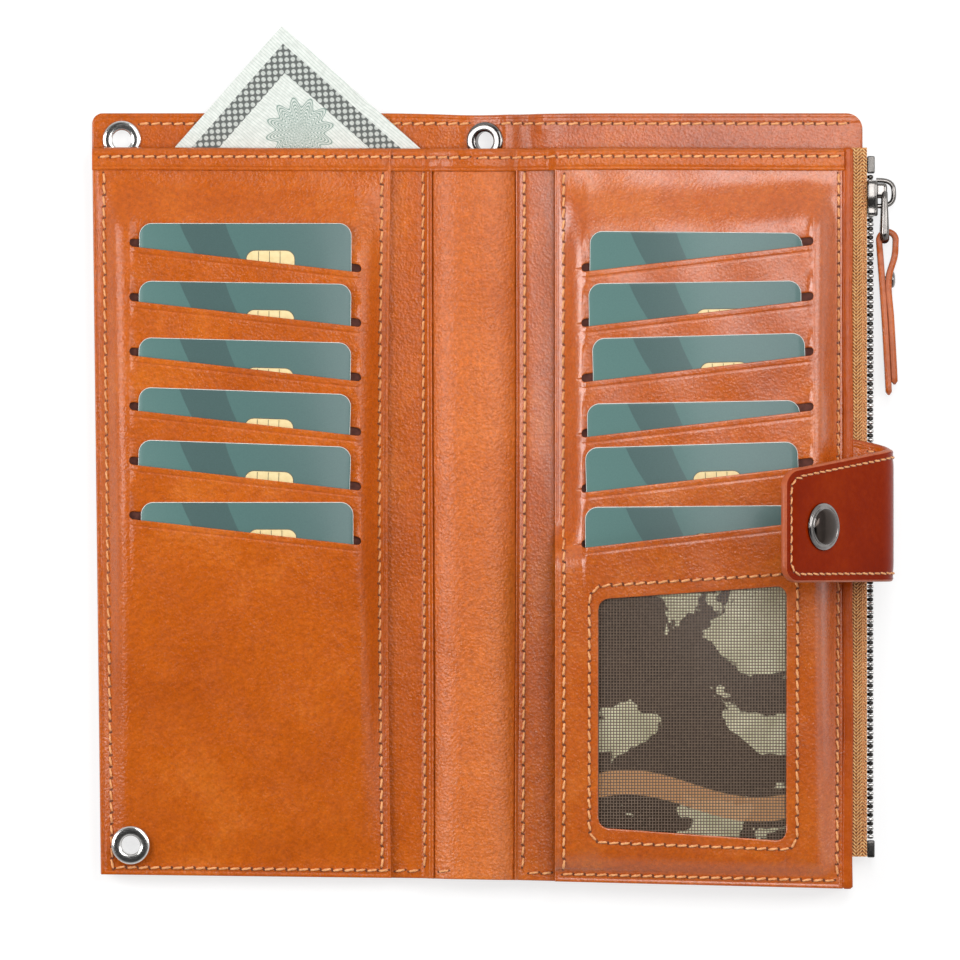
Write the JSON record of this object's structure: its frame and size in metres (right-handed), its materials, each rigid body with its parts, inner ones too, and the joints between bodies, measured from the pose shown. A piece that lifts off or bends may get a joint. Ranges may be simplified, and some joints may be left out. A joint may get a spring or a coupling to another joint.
{
  "type": "phone wallet",
  "caption": "Long bifold leather wallet, open flat: card slits, mesh ID window, full-length bill compartment, phone pockets, zip pocket, snap strap and chain eyelets.",
  "frame": {"origin": "middle of the spine's back face, on the plane that the open wallet lies on", "axes": "+X across to the right leaf, +Y up the leaves to the top hem, +Z out of the open face"},
  "size_m": [0.2071, 0.22, 0.0648],
  "materials": {
    "leather": "waxed, semi-gloss",
    "dark_leather": "polished",
    "lining": "matte",
    "nickel": "polished",
    "gunmetal": "polished dark",
    "tape": "woven",
    "card": "printed gloss",
    "id_card": "printed gloss",
    "mesh": "open weave",
    "paper": "matte printed"
  },
  "bodies": {
    "right_leaf": {"card_lining_right": "lining", "card_panel_right": "leather", "edge_binding": "leather", "liner_right": "leather", "pocket_panel_right": "leather", "shell_right": "leather", "strap_root": "dark_leather", "top_hem_right": "leather", "window_backing": "lining", "window_mesh": "mesh", "zip_bottom_stop": "gunmetal", "zip_tape_back": "tape", "zip_tape_front": "tape", "zip_teeth_back": "gunmetal", "zip_teeth_front": "gunmetal", "zip_top_stop_back": "gunmetal", "zip_top_stop_front": "gunmetal"},
    "spine": {"shell_spine": "leather", "liner_spine": "leather", "top_hem_spine": "leather", "eyelet_spine": "gunmetal", "washer_spine": "gunmetal"},
    "left_leaf": {"shell_left": "leather", "liner_left": "leather", "pocket_panel_left": "leather", "card_lining_left": "lining", "card_panel_left": "leather", "top_hem_left": "leather", "eyelet_top": "nickel", "washer_top": "nickel", "eyelet_bottom": "nickel", "washer_bottom": "nickel", "snap_stud": "gunmetal", "stud_rivet": "gunmetal"},
    "strap_link": {"strap_link": "dark_leather"},
    "strap_flap": {"strap_tip": "dark_leather", "snap_cap": "gunmetal", "snap_socket": "gunmetal"},
    "slider": {"zip_slider": "gunmetal"},
    "pull_link": {"pull_link": "gunmetal"},
    "pull_tab": {"pull_tab": "leather", "tab_rivet": "gunmetal"},
    "card_left_1": {"card_left_1": "card"},
    "card_left_2": {"card_left_2": "card"},
    "card_left_3": {"card_left_3": "card"},
    "card_left_4": {"card_left_4": "card"},
    "card_left_5": {"card_left_5": "card"},
    "card_left_6": {"card_left_6": "card"},
    "card_right_1": {"card_right_1": "card"},
    "card_right_2": {"card_right_2": "card"},
    "card_right_3": {"card_right_3": "card"},
    "card_right_4": {"card_right_4": "card"},
    "card_right_5": {"card_right_5": "card"},
    "card_right_6": {"card_right_6": "card"},
    "id_card": {"id_card": "id_card"},
    "banknote": {"banknote": "paper"}
  },
  "joints": [
    {"name": "spine_fold", "type": "hinge", "parent": "right_leaf", "child": "spine", "pos_m": [0.0117, 0, 0.00691], "axis": [0, 1, 0], "range_deg": [0, 90]},
    {"name": "left_leaf_fold", "type": "hinge", "parent": "spine", "child": "left_leaf", "pos_m": [-0.0117, 0, 0.00691], "axis": [0, 1, 0], "range_deg": [0, 90]},
    {"name": "strap_give", "type": "hinge", "parent": "right_leaf", "child": "strap_link", "pos_m": [0.1053, 0, 0.03052], "axis": [0, 1, 0], "range_deg": [0, 27]},
    {"name": "strap_snap", "type": "hinge", "parent": "strap_link", "child": "strap_flap", "pos_m": [0.09874, 0, 0.03807], "axis": [0, -1, 0], "range_deg": [0, 76]},
    {"name": "zip_slide", "type": "slide", "parent": "right_leaf", "child": "slider", "axis": [0, 1, 0], "range_m": [-0.1586, 0]},
    {"name": "pull_swing", "type": "hinge", "parent": "slider", "child": "pull_link", "pos_m": [0.1047, 0.0813, 0.00335], "axis": [0, 0, 1], "range_deg": [0, 100]},
    {"name": "tab_swing", "type": "hinge", "parent": "pull_link", "child": "pull_tab", "pos_m": [0.1047, 0.0693, 0.00335], "axis": [0, 0, 1], "range_deg": [0, 70]},
    {"name": "card_left_1_slide", "type": "slide", "parent": "left_leaf", "child": "card_left_1", "axis": [0, -0.9979, -0.0654], "range_m": [-0.075, 0]},
    {"name": "card_left_2_slide", "type": "slide", "parent": "left_leaf", "child": "card_left_2", "axis": [-0.0157, -0.9971, -0.0748], "range_m": [-0.075, 0]},
    {"name": "card_left_3_slide", "type": "slide", "parent": "left_leaf", "child": "card_left_3", "axis": [-0.0262, -0.9962, -0.0825], "range_m": [-0.075, 0]},
    {"name": "card_left_4_slide", "type": "slide", "parent": "left_leaf", "child": "card_left_4", "axis": [-0.0349, -0.9954, -0.0888], "range_m": [-0.075, 0]},
    {"name": "card_left_5_slide", "type": "slide", "parent": "left_leaf", "child": "card_left_5", "axis": [-0.0349, -0.995, -0.0941], "range_m": [-0.075, 0]},
    {"name": "card_left_6_slide", "type": "slide", "parent": "left_leaf", "child": "card_left_6", "axis": [0, -0.9951, -0.0984], "range_m": [-0.075, 0]},
    {"name": "card_right_1_slide", "type": "slide", "parent": "right_leaf", "child": "card_right_1", "axis": [-0.0087, -0.9979, -0.0647], "range_m": [-0.075, 0]},
    {"name": "card_right_2_slide", "type": "slide", "parent": "right_leaf", "child": "card_right_2", "axis": [0.014, -0.9972, -0.0739], "range_m": [-0.075, 0]},
    {"name": "card_right_3_slide", "type": "slide", "parent": "right_leaf", "child": "card_right_3", "axis": [0.0262, -0.9963, -0.0814], "range_m": [-0.075, 0]},
    {"name": "card_right_4_slide", "type": "slide", "parent": "right_leaf", "child": "card_right_4", "axis": [0.0175, -0.996, -0.0877], "range_m": [-0.075, 0]},
    {"name": "card_right_5_slide", "type": "slide", "parent": "right_leaf", "child": "card_right_5", "axis": [0.0297, -0.9952, -0.0928], "range_m": [-0.075, 0]},
    {"name": "card_right_6_slide", "type": "slide", "parent": "right_leaf", "child": "card_right_6", "axis": [0.0087, -0.9952, -0.0971], "range_m": [-0.075, 0]},
    {"name": "id_card_slide", "type": "slide", "parent": "right_leaf", "child": "id_card", "axis": [1, 0, 0], "range_m": [-0.045, 0]},
    {"name": "banknote_slide", "type": "slide", "parent": "left_leaf", "child": "banknote", "axis": [-0.6626, -0.749, 0], "range_m": [-0.045, 0]}
  ],
  "couplings": [
    {"joint": "left_leaf_fold", "follows": "spine_fold", "ratio": 1},
    {"joint": "strap_give", "follows": "spine_fold", "ratio": 0.3}
  ]
}
